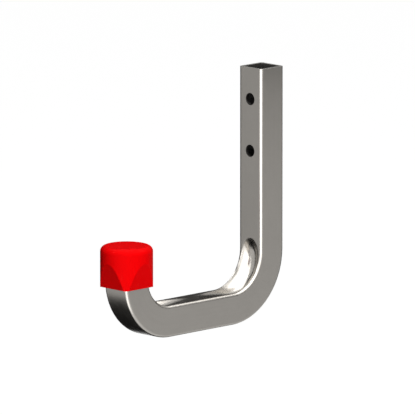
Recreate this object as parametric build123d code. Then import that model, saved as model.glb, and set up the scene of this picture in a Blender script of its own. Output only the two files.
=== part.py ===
# Square wall hook: one length of square steel tube, bent twice into a J, with a moulded
# red plastic cap on its short tip. The wall is the plane Y = 0, the arm comes out of the
# wall towards -Y, and X = 0 is the plane of symmetry. The origin lies on the wall, midway
# between the two screw holes.
import os
from math import acos, atan2, cos, degrees, hypot, radians, sin, sqrt

from build123d import *

# Square tube
tube_side = 20.0
tube_wall = 2.0
tube_corner_r = 2.0
bore_corner_least_r = 0.4

# The J, measured on the outside of the tube
hook_height = 160.0
hook_depth = 138.0
tip_straight = 18.0
wall_bend_inner_r = 24.0
tip_bend_inner_r = 19.0

# Screw holes, drilled through the front and back walls of the upright
hole_d = 7.2
hole_pitch = 33.0
first_hole_below_top = 20.0
hole_deburr = 0.3

# Dimples, pressed into the inner face of each bend by the bending die
dimple_depth = 6.0
dimple_width = 17.0
wall_dimple_up = 7.0
wall_dimple_along = 28.0
tip_dimple_up = 7.0
tip_dimple_along = 26.0
die_bead_height = 8.8
die_lead_angle = 25.0

# End cap: round at its top, square at its mouth, with a drafted socket
cap_d = 33.0
cap_crown = 4.0
cap_top_fillet = 3.8
cap_flat_height = 16.5
cap_mouth_wall = 2.1
cap_seat_clearance = 0.15
cap_mouth_clearance = 0.6

# Heights and distances that follow from the sizes above
top_z = hole_pitch / 2 + first_hole_below_top
bottom_z = top_z - hook_height
arm_top_z = bottom_z + tube_side
upright_face_y = -tube_side
tip_y = -(hook_depth - tube_side / 2)
tip_face_y = tip_y + tube_side / 2
bend_end_z = arm_top_z + tip_bend_inner_r
tip_end_z = bend_end_z + tip_straight


def hook_line():
    """Centre line of the tube: down the upright, out along the arm and up the tip."""
    upright_y = -tube_side / 2
    arm_z = bottom_z + tube_side / 2
    corners = [
        (0, upright_y, top_z),
        (0, upright_y, arm_z),
        (0, tip_y, arm_z),
        (0, tip_y, tip_end_z),
    ]
    bend_radii = [wall_bend_inner_r + tube_side / 2, tip_bend_inner_r + tube_side / 2]
    return FilletPolyline(*corners, radius=bend_radii)


def bent_bar(line, side, corner_r):
    """A square section with rounded corners, swept along the centre line."""
    start = Plane(origin=line @ 0, x_dir=(1, 0, 0), z_dir=line % 0)
    return sweep(start * RectangleRounded(side, side, corner_r), path=line)


def dimple_die(bend_y, bend_r, outward, up, along, wall):
    """Die that presses one dimple, grown by the wall of the metal that it pushes in.

    Seen from the side, its deepest line is an arc that lies evenly in the bend and comes
    out on the standing leg, and a straight run-out that leaves the arc at a tangent and
    comes out on the arm. Its bead is half an ellipse, as high as the named height and just
    wide enough to leave a dimple of the named width.
    """
    deepest = bend_r + dimple_depth
    shift = (deepest ** 2 - bend_r ** 2 - up ** 2) / (2 * (sqrt(2) * deepest - bend_r + up))
    reach = deepest - sqrt(2) * shift
    end_out, end_up = -along - shift, -bend_r + shift
    leave = atan2(end_up, end_out) + acos(reach / hypot(end_out, end_up))
    enter = atan2(up + shift, bend_r - shift) + radians(die_lead_angle)

    bead_half = dimple_width / 2 / sqrt(1 - (1 - dimple_depth / die_bead_height) ** 2)
    turn_r = reach - die_bead_height

    def place(angle, run=0.0):
        """A point on the die's centre line, round the arc and then out along the run-out."""
        out = shift + turn_r * cos(angle) + run * sin(angle)
        rise = -shift + turn_r * sin(angle) - run * cos(angle)
        return (0, bend_y + outward * out, arm_top_z + bend_r + rise)

    run_out = hypot(end_out, end_up) + die_bead_height
    line = Wire([
        ThreePointArc(place(enter), place((enter + leave) / 2), place(leave)),
        Line(place(leave), place(leave, run_out)),
    ])
    start = Plane(origin=line @ 0, x_dir=(1, 0, 0), z_dir=line % 0)
    bead = Ellipse(bead_half + wall, die_bead_height + wall)
    span = 2 * (bead_half + die_bead_height + wall)
    inner_half = Pos(0, outward * span / 2, 0) * Rectangle(span, span)
    return sweep(start * (bead - inner_half), path=line)


def dimple_dies(wall):
    """The dies of both bends: the one by the wall and the one under the tip."""
    wall_side = dimple_die(
        upright_face_y - wall_bend_inner_r, wall_bend_inner_r, 1,
        wall_dimple_up, wall_dimple_along, wall)
    tip_side = dimple_die(
        tip_face_y + tip_bend_inner_r, tip_bend_inner_r, -1,
        tip_dimple_up, tip_dimple_along, wall)
    return [wall_side, tip_side]


def screw_hole(z):
    """One hole through both walls, with its outer edges broken by a small countersink."""
    drill = Pos(0, upright_face_y / 2, z) * Rot(90, 0, 0) * Cylinder(hole_d / 2, 2 * tube_side)
    deburr = Cone(hole_d / 2, hole_d / 2 + hole_deburr, hole_deburr)
    front = Pos(0, upright_face_y + hole_deburr / 2, z) * Rot(90, 0, 0) * deburr
    back = Pos(0, -hole_deburr / 2, z) * Rot(-90, 0, 0) * deburr
    return drill + front + back


def make_hook_tube():
    """The bent tube, with its dimples pressed in and its screw holes drilled."""
    line = hook_line()
    bore_side = tube_side - 2 * tube_wall
    bore_corner_r = max(tube_corner_r - tube_wall, bore_corner_least_r)
    outside = bent_bar(line, tube_side, tube_corner_r) - dimple_dies(0)
    inside = bent_bar(line, bore_side, bore_corner_r) - dimple_dies(tube_wall)
    holes = [screw_hole(hole_pitch / 2), screw_hole(-hole_pitch / 2)]
    return outside - inside - holes


def make_end_cap():
    """The cap: a filleted drum, four slanted flats down to a square mouth, and a socket.

    The mouth laps a little over the end of the bend, by as much as its looser fit there
    lets the curving tube depart from the socket.
    """
    looser = cap_mouth_clearance - cap_seat_clearance
    lap = sqrt(2 * tip_bend_inner_r * looser - looser ** 2)
    mouth_z = bend_end_z - lap
    cap_top_z = tip_end_z + cap_crown
    drum = Pos(0, tip_y, (mouth_z + cap_top_z) / 2) * Cylinder(cap_d / 2, cap_top_z - mouth_z)
    drum = fillet(drum.edges().group_by(Axis.Z)[-1], cap_top_fillet)

    mouth_half = tube_side / 2 + cap_mouth_clearance + cap_mouth_wall
    flare = cap_d / 2 - mouth_half
    lean = degrees(atan2(flare, cap_flat_height))
    blade_height = 2 * hypot(flare, cap_flat_height)
    blade = Box(cap_d, cap_d, blade_height, align=(Align.MIN, Align.CENTER, Align.CENTER))
    for turn in (0, 90, 180, 270):
        mouth_edge = Pos(0, tip_y, mouth_z) * Rot(0, 0, turn) * Pos(mouth_half, 0, 0)
        drum -= mouth_edge * Rot(0, lean, 0) * blade

    mouth_side = tube_side + 2 * cap_mouth_clearance
    seat_side = tube_side + 2 * cap_seat_clearance
    socket = loft([
        Pos(0, tip_y, mouth_z) * RectangleRounded(mouth_side, mouth_side, tube_corner_r),
        Pos(0, tip_y, tip_end_z) * RectangleRounded(seat_side, seat_side, tube_corner_r),
    ])
    return drum - socket


os.makedirs("parts", exist_ok=True)
export_step(make_hook_tube(), "parts/hook_tube.step")
export_step(make_end_cap(), "parts/end_cap.step")
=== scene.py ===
from math import acos, atan2, cos, pi, radians, sin, sqrt

import bmesh
import bpy
from mathutils import Matrix, Vector


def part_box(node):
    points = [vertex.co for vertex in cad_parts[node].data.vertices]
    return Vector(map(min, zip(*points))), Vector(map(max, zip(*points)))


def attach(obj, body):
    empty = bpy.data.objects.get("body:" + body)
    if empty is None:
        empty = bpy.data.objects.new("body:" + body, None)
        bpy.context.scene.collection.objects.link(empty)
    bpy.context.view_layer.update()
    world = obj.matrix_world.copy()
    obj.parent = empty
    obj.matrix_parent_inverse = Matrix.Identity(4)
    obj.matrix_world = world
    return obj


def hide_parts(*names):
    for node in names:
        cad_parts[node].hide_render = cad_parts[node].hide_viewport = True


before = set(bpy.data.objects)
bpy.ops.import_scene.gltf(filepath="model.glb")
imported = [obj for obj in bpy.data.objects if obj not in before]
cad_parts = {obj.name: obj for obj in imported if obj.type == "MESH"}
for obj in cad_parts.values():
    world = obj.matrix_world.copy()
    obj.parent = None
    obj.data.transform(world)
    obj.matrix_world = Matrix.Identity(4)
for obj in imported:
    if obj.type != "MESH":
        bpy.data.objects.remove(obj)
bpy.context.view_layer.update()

# HOOK TUBE
# One length of square steel tube, cold drawn with rounded corners and given a satin zinc finish.
# It is bent twice round a former into a J and sawn off square at both ends. Each bend has a long
# dimple on its inside, where the former pressed the wall in so that the tube would not buckle.
MM = 0.001
touching = 0.001 * MM
tube_low, tube_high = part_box("hook_tube")
side = tube_high.x - tube_low.x
wall = 2.0 * MM
corner_r = 2.0 * MM
bore_corner_r = 0.4 * MM
arm_top = tube_low.z + side

wall_bend_r = 24.0 * MM
tip_bend_r = 19.0 * MM
wall_bend = Vector((0, -side - wall_bend_r, arm_top + wall_bend_r))
tip_bend = Vector((0, tube_low.y + side + tip_bend_r, arm_top + tip_bend_r))
mid_arm_y = (wall_bend.y + tip_bend.y) / 2
cap_crown = 4.0 * MM
tip_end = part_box("end_cap")[1].z - cap_crown

dimple_depth = 6.0 * MM
dimple_width = 17.0 * MM
dimple_lip = 0.5 * MM
dimple_start_room = 2.0 * MM
wall_dimple_up = 7.0 * MM
wall_dimple_along = 28.0 * MM
tip_dimple_up = 7.0 * MM
tip_dimple_along = 26.0 * MM
bead_height = 8.8 * MM
bead_half = dimple_width / 2 / sqrt(1 - (1 - dimple_depth / bead_height) ** 2)

hole_r = 3.6 * MM
hole_z = 16.5 * MM
hole_deburr = 0.3 * MM
rim_break = 0.25 * MM
tube_sharp_angle = radians(28)

# How finely the tube is divided: across it, along it from the top to the tip, and at its edges
corner_steps = 8
fine_strips = 48
upright_steps = 12
dimple_start_steps = 18
wall_bend_steps = 96
arm_steps = 110
tip_bend_steps = 80
tip_steps = 36
rim_steps = 2
hole_steps = 72

# The bore and the drilled holes have colours far darker than the steel's: painted shade inside
# the tube and its holes.
satin_colour = (0.262, 0.249, 0.230)
bore_painted_shade_colour = (0.045, 0.043, 0.041)
sawn_colour = (0.20, 0.194, 0.184)
drilled_painted_shade_colour = (0.02, 0.019, 0.018)

# The tube's finishes, in the order of its material slots
OUTSIDE, BORE, SAWN, DRILLED = range(4)


def section_loop(bm, size, round_r):
    """The outline of a rounded square, with the side that faces away from the wall cut fine."""
    verts = bmesh.ops.create_grid(bm, x_segments=1, y_segments=1, size=size / 2)["verts"]
    bmesh.ops.bevel(bm, geom=verts, offset=round_r, offset_type="OFFSET", affect="VERTICES",
                    segments=corner_steps, profile=0.5, material=-1)
    bmesh.ops.delete(bm, geom=bm.faces[:], context="FACES_ONLY")
    front = [e for e in bm.edges if all(v.co.y < -size / 2 + touching for v in e.verts)]
    bmesh.ops.subdivide_edges(bm, edges=front, cuts=fine_strips - 1)
    return bm.edges[:]


def carry(bm, loop, centre, angle, travel, steps):
    """Carries an outline on, straight or round a bend, and gives its last place."""
    last = bmesh.ops.spin(bm, geom=loop, cent=centre, axis=(1, 0, 0), dvec=travel / steps,
                          angle=angle, steps=steps)["geom_last"]
    return [e for e in last if isinstance(e, bmesh.types.BMEdge)]


def tube_skin(size, round_r):
    """One skin of the tube, carried down the upright, round the wall bend, along and up."""
    bm = bmesh.new()
    loop = section_loop(bm, size, round_r)
    bmesh.ops.translate(bm, verts=bm.verts[:], vec=(0, -side / 2, tube_high.z))
    fine_from = wall_bend.z + wall_dimple_up + dimple_start_room
    still = Vector((0, 0, 0))
    loop = carry(bm, loop, still, 0, Vector((0, 0, fine_from - tube_high.z)), upright_steps)
    loop = carry(bm, loop, still, 0, Vector((0, 0, wall_bend.z - fine_from)), dimple_start_steps)
    loop = carry(bm, loop, wall_bend, -pi / 2, still, wall_bend_steps)
    loop = carry(bm, loop, still, 0, Vector((0, tip_bend.y - wall_bend.y, 0)), arm_steps)
    loop = carry(bm, loop, tip_bend, -pi / 2, still, tip_bend_steps)
    carry(bm, loop, still, 0, Vector((0, 0, tip_end - tip_bend.z)), tip_steps)
    return bm


def into_tube(point):
    """The direction from the inside of the J into the tube's wall, at a point on the tube."""
    near, outward = (wall_bend, 1) if point.y > mid_arm_y else (tip_bend, -1)
    from_bend = Vector((0, point.y - near.y, point.z - near.z))
    if from_bend.z >= 0:
        return Vector((0, outward, 0))
    if from_bend.y * outward <= 0:
        return Vector((0, 0, -1))
    return from_bend.normalized()


def deep_line(bend_r, up, along):
    """The dimple's deepest line from the side, about the bend's centre: an arc and a run-out.

    Gives how far the arc's centre is shifted, its radius, the bearing at which the straight
    run-out along the arm leaves it, and how far the run-out may go.
    """
    deepest = bend_r + dimple_depth
    shift = (deepest ** 2 - bend_r ** 2 - up ** 2) / (2 * (sqrt(2) * deepest - bend_r + up))
    reach = deepest - sqrt(2) * shift
    end = Vector((-along - shift, -bend_r + shift))
    return shift, reach, atan2(end.y, end.x) + acos(reach / end.length), end.length


def press(verts, bend, bend_r, outward, up, along, grown):
    """Presses one dimple into a skin: its points sink to the die and roll over at a soft lip."""
    least_slant = 0.01
    shift, reach, bearing, run_out = deep_line(bend_r, up, along)
    leave = Vector((0, outward * cos(bearing), sin(bearing)))
    run = Vector((0, outward * sin(bearing), -cos(bearing)))
    centre = bend + Vector((0, outward * shift, -shift))
    for v in verts:
        across = v.co.x / (bead_half + grown)
        if (v.co - bend).length > 2 * bend_r + along or abs(across) >= 1:
            continue
        way = into_tube(v.co)
        ring = reach - bead_height + (bead_height + grown) * sqrt(1 - across ** 2)
        offset = Vector((0, v.co.y - centre.y, v.co.z - centre.z))
        depth = (ring - offset.dot(leave)) / max(way.dot(leave), least_slant)
        along_run = (offset + depth * way).dot(run)
        if along_run > run_out:
            continue
        if along_run < 0:
            under = ring ** 2 - offset.length_squared + offset.dot(way) ** 2
            if under <= 0:
                continue
            depth = sqrt(under) - offset.dot(way)
        blend = min(1, max(0, 0.5 + 0.5 * depth / dimple_lip))
        v.co += way * (depth * blend + dimple_lip * blend * (1 - blend))


def tube_mesh():
    """The tube's two skins, each with its dimples, joined by the sawn rims at its ends."""
    bm = bmesh.new()
    skins = ((side, corner_r, 0, OUTSIDE), (side - 2 * wall, bore_corner_r, wall, BORE))
    for size, round_r, grown, finish in skins:
        skin = tube_skin(size, round_r)
        for f in skin.faces:
            f.material_index = finish
        press(skin.verts, wall_bend, wall_bend_r, 1, wall_dimple_up, wall_dimple_along, grown)
        press(skin.verts, tip_bend, tip_bend_r, -1, tip_dimple_up, tip_dimple_along, grown)
        mesh = bpy.data.meshes.new("skin")
        skin.to_mesh(mesh)
        skin.free()
        bm.from_mesh(mesh)
        bpy.data.meshes.remove(mesh)
    rims = [e for e in bm.edges if e.is_boundary]
    for z in (tube_high.z, tip_end):
        rim = [e for e in rims if abs(e.verts[0].co.z - z) < touching]
        made = bmesh.ops.triangle_fill(bm, edges=rim, use_beauty=True)["geom"]
        for f in made:
            if isinstance(f, bmesh.types.BMFace):
                f.material_index = SAWN
    bmesh.ops.recalc_face_normals(bm, faces=bm.faces)
    bmesh.ops.bevel(bm, geom=rims, offset=rim_break, offset_type="OFFSET", affect="EDGES",
                    segments=rim_steps, profile=0.5, material=-1)
    return bm


def new_piece(name, bm):
    """A mesh object made from a bmesh and put into the scene."""
    mesh = bpy.data.meshes.new(name)
    bm.to_mesh(mesh)
    bm.free()
    piece = bpy.data.objects.new(name, mesh)
    bpy.context.scene.collection.objects.link(piece)
    return piece


def in_fixed_order(mesh):
    """Puts a mesh's points and faces in an order that only their places decide."""
    bm = bmesh.new()
    bm.from_mesh(mesh)
    for i, v in enumerate(sorted(bm.verts, key=lambda v: v.co[:])):
        v.index = i
    bm.verts.sort()
    for i, f in enumerate(sorted(bm.faces, key=lambda f: sorted(v.index for v in f.verts))):
        f.index = i
    bm.faces.sort()
    bm.to_mesh(mesh)
    bm.free()


def cut_away(piece, cutter):
    """Cuts one object out of another and keeps the result as the piece's own mesh.

    A cut gives its points in another order in each run, so they are put in a fixed one.
    """
    cut = piece.modifiers.new("cut", "BOOLEAN")
    cut.operation = "DIFFERENCE"
    cut.solver = "EXACT"
    cut.object = cutter
    bpy.context.view_layer.update()
    shaped = piece.evaluated_get(bpy.context.evaluated_depsgraph_get())
    mesh = bpy.data.meshes.new_from_object(shaped)
    piece.modifiers.remove(cut)
    in_fixed_order(mesh)
    piece.data = mesh
    bpy.data.objects.remove(cutter)


def smooth_piece(piece, sharp_angle):
    """Shades a piece smooth, leaves its sharp edges sharp and its flat faces flat."""
    bm = bmesh.new()
    bm.from_mesh(piece.data)
    bmesh.ops.remove_doubles(bm, verts=bm.verts, dist=touching)
    for f in bm.faces:
        f.smooth = True
    for e in bm.edges:
        e.smooth = len(e.link_faces) != 2 or e.calc_face_angle(0) < sharp_angle
    bm.to_mesh(piece.data)
    bm.free()
    even = piece.modifiers.new("even shading", "WEIGHTED_NORMAL")
    even.mode = "FACE_AREA"
    even.keep_sharp = True


def screw_drill(z):
    """The drill for one screw hole, with a flare that breaks the hole's edge on each face."""
    bm = bmesh.new()
    clear = 1.0 * MM
    stations = [
        (clear, hole_r + hole_deburr + clear),
        (-hole_deburr, hole_r),
        (-side + hole_deburr, hole_r),
        (-side - clear, hole_r + hole_deburr + clear),
    ]
    loop = bmesh.ops.create_circle(bm, segments=hole_steps, radius=stations[0][1],
                                   cap_ends=True)["verts"]
    bmesh.ops.rotate(bm, verts=loop, cent=(0, 0, 0), matrix=Matrix.Rotation(-pi / 2, 3, "X"))
    bmesh.ops.translate(bm, verts=loop, vec=(0, stations[0][0], z))
    ring = bm.edges[:]
    for (y, r), (y_before, r_before) in zip(stations[1:], stations):
        made = bmesh.ops.extrude_edge_only(bm, edges=ring)["geom"]
        verts = [v for v in made if isinstance(v, bmesh.types.BMVert)]
        ring = [e for e in made if isinstance(e, bmesh.types.BMEdge)
                and all(v in verts for v in e.verts)]
        grow = r / r_before
        bmesh.ops.scale(bm, verts=verts, vec=(grow, 1, grow),
                        space=Matrix.Translation((0, 0, -z)))
        bmesh.ops.translate(bm, verts=verts, vec=(0, y - y_before, 0))
    bmesh.ops.contextual_create(bm, geom=ring)
    bmesh.ops.recalc_face_normals(bm, faces=bm.faces)
    return new_piece("drill", bm)


def place_on_tube(point):
    """Where a point is on the tube: across it, along its line, and in from the J's inside."""
    upright = tube_high.z - wall_bend.z
    wall_turn_r = wall_bend_r + side / 2
    tip_turn_r = tip_bend_r + side / 2
    arm = wall_bend.y - tip_bend.y
    way = into_tube(point)
    if point.y > mid_arm_y:
        deep = (point - wall_bend).dot(way) - wall_bend_r
        along = upright - max(0, point.z - wall_bend.z) + max(0, wall_bend.y - point.y)
        along += atan2(-way.z, way.y) * wall_turn_r
    else:
        deep = (point - tip_bend).dot(way) - tip_bend_r
        along = upright + pi / 2 * wall_turn_r + arm - max(0, point.y - tip_bend.y)
        along += atan2(-way.y, -way.z) * tip_turn_r + max(0, point.z - tip_bend.z)
    return Vector((point.x, along, deep))


def mark_places(piece):
    """Keeps each point's place on the tube, as it was before the dimples were pressed in."""
    # Each skin's finish, how far in it lies, and how much of its edge the round corner takes
    skins = ((OUTSIDE, 0, 1.3 * MM), (BORE, wall, 0.3 * MM))
    places, pressed = [], []
    bm = bmesh.new()
    bm.from_mesh(piece.data)
    for v in bm.verts:
        place = place_on_tube(v.co)
        finishes = {f.material_index for f in v.link_faces}
        sunk = 0
        for finish, skin_in, corner_room in skins:
            on_face = abs(place.x) < side / 2 - skin_in - corner_room
            if finishes == {finish} and on_face and place.z < side / 2:
                sunk = place.z - skin_in
        places.extend((place.x, place.y, place.z - sunk))
        pressed.append(min(1, max(0, sunk / dimple_depth)))
    bm.free()
    kept = piece.data.attributes
    kept.new("tube_place", "FLOAT_VECTOR", "POINT").data.foreach_set("vector", places)
    kept.new("tube_pressed", "FLOAT", "POINT").data.foreach_set("value", pressed)


class Wire:
    """A socket of a material, which Python's own arithmetic works on."""

    def __init__(self, tree, socket=None):
        self.tree = tree
        self.socket = socket

    def node(self, kind, settings=None, sockets=None, output=None):
        """Adds a node, its settings first and then its sockets, and gives one of its outputs."""
        made = self.tree.nodes.new("ShaderNode" + kind)
        for name, value in (settings or {}).items():
            setattr(made, name, value)
        for name, value in (sockets or {}).items():
            socket = made.inputs[name] if isinstance(name, int) else next(
                s for s in made.inputs if s.enabled and s.name == name)
            if isinstance(value, Wire):
                self.tree.links.new(value.socket, socket)
            else:
                socket.default_value = value
        outputs = [s for s in made.outputs if s.enabled and output in (None, s.name)]
        return Wire(self.tree, outputs[0] if outputs else None)

    def out(self, name):
        """Another output of the same node."""
        return Wire(self.tree, self.socket.node.outputs[name])

    def reckon(self, operation, a, b=0.0):
        """A Math node on one or two values, each a wire or a number."""
        return self.node("Math", {"operation": operation}, {0: a, 1: b})

    def ramp(self, low, high):
        """Rises softly from 0 to 1 as this value goes from low to high."""
        return self.node("MapRange", {"interpolation_type": "SMOOTHSTEP"},
                         {"Value": self, "From Min": low, "From Max": high})

    def __add__(self, other):
        return self.reckon("ADD", self, other)

    def __sub__(self, other):
        return self.reckon("SUBTRACT", self, other)

    def __rsub__(self, other):
        return self.reckon("SUBTRACT", other, self)

    def __mul__(self, other):
        return self.reckon("MULTIPLY", self, other)

    def __abs__(self):
        return self.reckon("ABSOLUTE", self)

    __radd__ = __add__
    __rmul__ = __mul__


def fresh_material(name):
    """An empty material, and the first wire on its node tree."""
    material = bpy.data.materials.new(name)
    material.use_nodes = True
    material.node_tree.nodes.clear()
    return material, Wire(material.node_tree)


def grain(place, stretch, detail=4.0):
    """Noise on a place that is first stretched, in cells per metre each way."""
    spread = place.node("VectorMath", {"operation": "MULTIPLY"}, {0: place, 1: stretch})
    return place.node("TexNoise", {}, {"Vector": spread, "Scale": 1.0, "Detail": detail,
                                       "Roughness": 0.6})


def satin_steel(name, colour):
    """The tube's outside: drawing lines along it, faint clouding, specks, rubbed corners and
    pressed dimples. The last two are lighter in colour, partly as rubbed and burnished metal and
    partly as painted highlight.
    """
    rub_highlight_begins, rub_highlight_full = side / 2 - 1.7 * MM, side / 2 - 0.7 * MM
    press_begins, press_full = 0.04, 0.4
    speck_begins, speck_full = 0.70, 0.80
    relief = 0.006 * MM
    material, wire = fresh_material(name)
    place = wire.node("Attribute", {"attribute_name": "tube_place"}, output="Vector")
    pressed = wire.node("Attribute", {"attribute_name": "tube_pressed"}, output="Fac")
    across = place.node("SeparateXYZ", {}, {0: place}, "X")
    deep = across.out("Z")
    lines = grain(place, (1700, 14, 1700))
    bands = grain(place, (330, 4, 330), 2.0)
    cloud = grain(place, (75, 60, 75), 3.0)
    specks = grain(place, (1500, 1100, 1500), 1.0).ramp(speck_begins, speck_full)
    from_middle = place.reckon("MINIMUM", abs(across), abs(deep - side / 2))
    rub_and_painted_highlight = from_middle.ramp(rub_highlight_begins, rub_highlight_full)
    burnish_and_painted_highlight = pressed.ramp(press_begins, press_full)
    # The corners and the dimples are lighter: partly rubbed and burnished metal, partly painted
    # highlight that whitens their reflections.
    tone = 0.90 + 0.10 * lines + 0.12 * cloud - 0.14 * specks + 0.25 * rub_and_painted_highlight + 0.30 * burnish_and_painted_highlight
    base = place.node("VectorMath", {"operation": "SCALE"}, {0: colour, "Scale": tone})
    rough = 0.22 + 0.06 * bands + 0.10 * cloud + 0.12 * specks - 0.03 * rub_and_painted_highlight - 0.08 * burnish_and_painted_highlight
    height = 0.5 * lines + 0.5 * bands - 0.5 * specks
    bump = place.node("Bump", {}, {"Strength": 0.6, "Distance": relief, "Height": height})
    surface = place.node("BsdfPrincipled", {}, {
        "Base Color": base, "Metallic": 1.0, "Roughness": rough, "Normal": bump})
    place.node("OutputMaterial", {}, {"Surface": surface})
    return material


def worked_steel(name, colour, rough_low, rough_high, stretch, depth):
    """Steel with one kind of tool mark: the dull bore, the sawn rims or the drilled holes. The
    bore and the holes are given colours darkened with painted shade.
    """
    material, wire = fresh_material(name)
    place = wire.node("Attribute", {"attribute_name": "tube_place"}, output="Vector")
    marks = grain(place, stretch)
    cloud = grain(place, (120, 120, 120), 3.0)
    base = place.node("VectorMath", {"operation": "SCALE"},
                      {0: colour, "Scale": 0.7 + 0.3 * marks + 0.3 * cloud})
    rough = rough_low + (rough_high - rough_low) * (0.5 * marks + 0.5 * cloud)
    bump = place.node("Bump", {}, {"Strength": 0.7, "Distance": depth, "Height": marks})
    surface = place.node("BsdfPrincipled", {}, {
        "Base Color": base, "Metallic": 1.0, "Roughness": rough, "Normal": bump})
    place.node("OutputMaterial", {}, {"Surface": surface})
    return material


tube = new_piece("bent_tube", tube_mesh())
finishes = (
    satin_steel("satin_steel", satin_colour),
    worked_steel("bore_steel", bore_painted_shade_colour, rough_low=0.5, rough_high=0.7,
                 stretch=(500, 30, 500), depth=0.04 * MM),
    worked_steel("sawn_steel", sawn_colour, rough_low=0.4, rough_high=0.6,
                 stretch=(60, 60, 3400), depth=0.03 * MM),
    worked_steel("drilled_steel", drilled_painted_shade_colour, rough_low=0.5, rough_high=0.7,
                 stretch=(90, 90, 3200), depth=0.02 * MM),
)
for finish in finishes:
    tube.data.materials.append(finish)
for z in (hole_z, -hole_z):
    drill = screw_drill(z)
    drill.data.materials.append(finishes[DRILLED])
    cut_away(tube, drill)
smooth_piece(tube, tube_sharp_angle)
mark_places(tube)
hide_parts("hook_tube")
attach(tube, "root")

# END CAP
# A red plastic cap pushed over the tip, injection moulded in one piece. Its top is a round drum
# with a filleted edge, and four slanted flats run down from it to a square mouth round the tube.
cap_low, cap_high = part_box("end_cap")
cap_r = (cap_high.x - cap_low.x) / 2
tip_y = (cap_low.y + cap_high.y) / 2
cap_top_fillet = 3.8 * MM
cap_flat_height = 16.5 * MM
cap_mouth_wall = 2.1 * MM
mouth_clearance = 0.6 * MM
seat_clearance = 0.15 * MM
cap_edge_r = 0.45 * MM
cap_sharp_angle = radians(40)

drum_steps = 160
top_fillet_steps = 14
flat_edge_steps = 3
socket_corner_steps = 6

cap_colour = (0.74, 0.0006, 0.0015)
scuff_colour = (0.85, 0.12, 0.10, 1)
shine_tint = (1.0, 0.12, 0.12, 1)


def cap_mesh():
    """A filleted drum, planed down on four sides by slanted flats."""
    on_plane = 0.0001 * MM
    flat_least_corners, level_normal = 12, 0.9
    bm = bmesh.new()
    height = cap_high.z - cap_low.z
    bmesh.ops.create_cone(bm, cap_ends=True, segments=drum_steps, radius1=cap_r,
                          radius2=cap_r, depth=height)
    top = [e for e in bm.edges if all(v.co.z > height / 2 - touching for v in e.verts)]
    bmesh.ops.bevel(bm, geom=top, offset=cap_top_fillet, offset_type="OFFSET", affect="EDGES",
                    segments=top_fillet_steps, profile=0.5, material=-1)
    bmesh.ops.translate(bm, verts=bm.verts, vec=(0, tip_y, (cap_low.z + cap_high.z) / 2))
    mouth_half = side / 2 + mouth_clearance + cap_mouth_wall
    lean = atan2(cap_r - mouth_half, cap_flat_height)
    for turn in range(4):
        out = Vector((cos(turn * pi / 2), sin(turn * pi / 2), 0))
        cut = bmesh.ops.bisect_plane(
            bm, geom=bm.verts[:] + bm.edges[:] + bm.faces[:], dist=on_plane, clear_outer=True,
            plane_co=Vector((0, tip_y, cap_low.z)) + out * mouth_half,
            plane_no=out * cos(lean) - Vector((0, 0, sin(lean))))["geom_cut"]
        rim = [e for e in cut if isinstance(e, bmesh.types.BMEdge)]
        bmesh.ops.contextual_create(bm, geom=rim)
    bmesh.ops.recalc_face_normals(bm, faces=bm.faces)
    flats = [f for f in bm.faces
             if len(f.verts) > flat_least_corners and abs(f.normal.z) < level_normal]
    flat_edges = [e for e in bm.edges if any(f in flats for f in e.link_faces)]
    bmesh.ops.bevel(bm, geom=flat_edges, offset=cap_edge_r, offset_type="OFFSET",
                    affect="EDGES", segments=flat_edge_steps, profile=0.5, material=-1,
                    clamp_overlap=True)
    return bm


def socket_core():
    """The core that moulds the socket, drafted so that the cap comes off it."""
    bm = bmesh.new()
    mouth_half = side / 2 + mouth_clearance
    seat_half = side / 2 + seat_clearance
    below = 1.0 * MM
    flare = (mouth_half - seat_half) / (tip_end - cap_low.z)
    foot_half = mouth_half + flare * below
    verts = bmesh.ops.create_grid(bm, x_segments=1, y_segments=1, size=foot_half)["verts"]
    bmesh.ops.translate(bm, verts=verts, vec=(0, tip_y, cap_low.z - below))
    bmesh.ops.bevel(bm, geom=verts, offset=corner_r, offset_type="OFFSET", affect="VERTICES",
                    segments=socket_corner_steps, profile=0.5, material=-1)
    grown = bmesh.ops.extrude_face_region(bm, geom=bm.faces[:])["geom"]
    top = [v for v in grown if isinstance(v, bmesh.types.BMVert)]
    bmesh.ops.translate(bm, verts=top, vec=(0, 0, tip_end - cap_low.z + below))
    shrink = seat_half / foot_half
    bmesh.ops.scale(bm, verts=top, vec=(shrink, shrink, 1),
                    space=Matrix.Translation((0, -tip_y, 0)))
    bmesh.ops.recalc_face_normals(bm, faces=bm.faces)
    return new_piece("core", bm)


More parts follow.
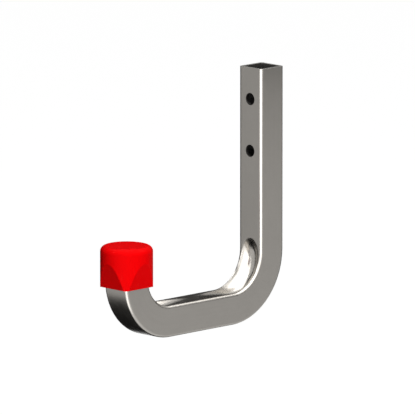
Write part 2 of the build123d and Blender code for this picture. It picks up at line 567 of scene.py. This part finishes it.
def moulded_plastic(name, colour):
    """Red plastic from a spark-worn mould: fine grain, faint flow, and scuffs at its ends."""
    mouth_scuffs_end = cap_low.z + 2.5 * MM
    top_scuffs_begin, top_scuffs_full = cap_high.z - 5.0 * MM, cap_high.z - 1.5 * MM
    scratch_begins, scratch_full = 0.66, 0.76
    relief = 0.03 * MM
    material, wire = fresh_material(name)
    place = wire.node("TexCoord", {}, {}, "Object")
    height = place.node("SeparateXYZ", {}, {0: place}, "Z")
    texture = grain(place, (1300, 1300, 1300), 3.0)
    flow = grain(place, (90, 90, 45), 3.0)
    scratch = grain(place, (700, 700, 60), 2.0).ramp(scratch_begins, scratch_full)
    ends = 1 - height.ramp(cap_low.z, mouth_scuffs_end)
    ends = ends + height.ramp(top_scuffs_begin, top_scuffs_full) * 0.5
    scuffed = scratch * (0.25 + ends)
    tone = 0.93 + 0.06 * texture + 0.10 * flow
    base = place.node("VectorMath", {"operation": "SCALE"}, {0: colour, "Scale": tone})
    worn = place.node("Mix", {"data_type": "RGBA"},
                      {"Factor": scuffed * 0.25, "A": base, "B": scuff_colour}, "Result")
    rough = 0.42 + 0.08 * flow + 0.10 * texture + 0.10 * scuffed
    bump = place.node("Bump", {}, {"Strength": 0.6, "Distance": relief,
                                   "Height": texture - 0.4 * scuffed})
    surface = place.node("BsdfPrincipled", {}, {
        "Base Color": worn, "Roughness": rough, "Normal": bump,
        "IOR": 1.5, "Specular IOR Level": 0.05, "Specular Tint": shine_tint})
    place.node("OutputMaterial", {}, {"Surface": surface})
    return material


cap = new_piece("tip_cap", cap_mesh())
cut_away(cap, socket_core())
smooth_piece(cap, cap_sharp_angle)
cap.data.materials.append(moulded_plastic("red_plastic", cap_colour))
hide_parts("end_cap")
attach(cap, "root")

# STUDIO
# The hook hangs free over a plain pale floor, in front of white, as in a catalogue picture.
# Softboxes in front, below, above, to the right and behind, and dark cards between them, shape
# the steel through its reflections alone. One key lamp lights the cap and the floor.
white = (1, 1, 1, 1)
floor_z = -0.6
floor_reach = 5.0
floor_paint = (0.45, 0.45, 0.45, 1)
floor_glow = 0.97


def seen_rays(wire):
    """1 for a ray from the camera, a reflection or glass, and 0 for one that gathers light."""
    path = wire.node("LightPath", {}, {}, "Is Camera Ray")
    return path + path.out("Is Glossy Ray") + path.out("Is Transmission Ray")


def pale_floor():
    """Pale matt paint that the camera and the steel see as white, with the shadows kept."""
    material, wire = fresh_material("pale_floor")
    paint = wire.node("BsdfDiffuse", {}, {"Color": floor_paint})
    glow = wire.node("Emission", {}, {"Color": white, "Strength": floor_glow * seen_rays(wire)})
    both = wire.node("AddShader", {}, {0: paint, 1: glow})
    wire.node("OutputMaterial", {}, {"Surface": both})
    return material


bm = bmesh.new()
bmesh.ops.create_grid(bm, x_segments=1, y_segments=1, size=floor_reach)
bmesh.ops.translate(bm, verts=bm.verts, vec=(0, 0, floor_z))
floor = new_piece("floor", bm)
floor.data.materials.append(pale_floor())

camera = bpy.data.objects.new("camera", bpy.data.cameras.new("camera"))
bpy.context.scene.collection.objects.link(camera)
bpy.context.scene.camera = camera
azimuth = radians(45.5)
elevation = radians(10.5)
away = 6.0
frame_width = 0.2612
sensor_width = 36
aim_left = 41.0 * MM
aim_down = 54.4 * MM
back = Vector((sin(azimuth) * cos(elevation), -cos(azimuth) * cos(elevation), sin(elevation)))
right = Vector((cos(azimuth), sin(azimuth), 0))
up = back.cross(right)
aim = -right * aim_left - up * aim_down
camera.data.sensor_width = sensor_width
camera.data.lens = sensor_width * away / frame_width
camera.location = aim + back * away
camera.rotation_mode = "QUATERNION"
camera.rotation_quaternion = (-back).to_track_quat("-Z", "Y")
camera.data.clip_end = 100

card_black = (0.008, 0.008, 0.008, 1)
black, wire = fresh_material("matt_black")
paint = wire.node("BsdfDiffuse", {}, {"Color": card_black})
wire.node("OutputMaterial", {}, {"Surface": paint})


def dark_card(name, place, faces, width, height):
    """A matt black card that only the reflections see."""
    bm = bmesh.new()
    bmesh.ops.create_grid(bm, x_segments=1, y_segments=1, size=0.5)
    bmesh.ops.scale(bm, verts=bm.verts, vec=(width, height, 1))
    bmesh.ops.rotate(bm, verts=bm.verts, cent=(0, 0, 0),
                     matrix=Vector(faces).to_track_quat("Z", "Y").to_matrix())
    bmesh.ops.translate(bm, verts=bm.verts, vec=place)
    card = new_piece(name, bm)
    card.data.materials.append(black)
    card.visible_camera = False
    card.visible_diffuse = False
    card.visible_shadow = False


# Each card's middle, the way it faces, its width and its height, in metres
dark_card("low_card", (-0.42, -0.10, floor_z + 0.02), (0, 0, 1), 0.8, 1.1)
dark_card("left_card", (-0.62, -0.13, 0.02), (1, 0, 0), 0.68, 1.2)
dark_card("far_card", (-0.56, 0.50, 0.15), (0.7, -0.7, 0), 0.72, 0.86)
dark_card("back_card", (0.0, 0.75, -0.10), (0, -1, 0), 0.55, 0.6)
dark_card("right_card", (0.36, 0.36, 0.02), (-1, -1, 0), 0.5, 0.12)

hook_middle = Vector((0, -0.07, -0.07))


def softbox(name, turn, lift, distance, size, watts, diffuse=True, glossy=True):
    """A square lamp at a bearing and height from the hook, in degrees, aimed at its middle."""
    lamp = bpy.data.objects.new(name, bpy.data.lights.new(name, "AREA"))
    bpy.context.scene.collection.objects.link(lamp)
    turn, lift = radians(turn), radians(lift)
    way = Vector((sin(turn) * cos(lift), -cos(turn) * cos(lift), sin(lift)))
    lamp.location = hook_middle + way * distance
    lamp.rotation_mode = "QUATERNION"
    lamp.rotation_quaternion = (lamp.location - hook_middle).to_track_quat("Z", "Y")
    lamp.data.size = size
    lamp.data.energy = watts
    lamp.visible_diffuse = diffuse
    lamp.visible_glossy = glossy
    lamp.visible_camera = False


# Each lamp's bearing from the front and its height in degrees, distance and size in metres, watts
softbox("front", 32, 22, 1.3, 2.8, 66, diffuse=False)
softbox("low_front", 24, -26, 0.6, 0.56, 2.2, diffuse=False)
softbox("right", 108, 42, 1.3, 0.9, 7, diffuse=False)
softbox("back", 168, 54, 1.3, 0.7, 4.5, diffuse=False)
softbox("ceiling", 30, 78, 1.3, 1.9, 34, diffuse=False)
softbox("key", 56, 36, 1.6, 0.6, 34.5, glossy=False)

room_light = 0.03
world = bpy.data.worlds.new("world")
bpy.context.scene.world = world
world.use_nodes = True
world.node_tree.nodes.clear()
sky = Wire(world.node_tree)
strength = room_light + (1 - room_light) * seen_rays(sky)
glow = sky.node("Background", {}, {"Color": white, "Strength": strength})
sky.node("OutputWorld", {}, {"Surface": glow})
bpy.context.scene.view_settings.view_transform = "Standard"
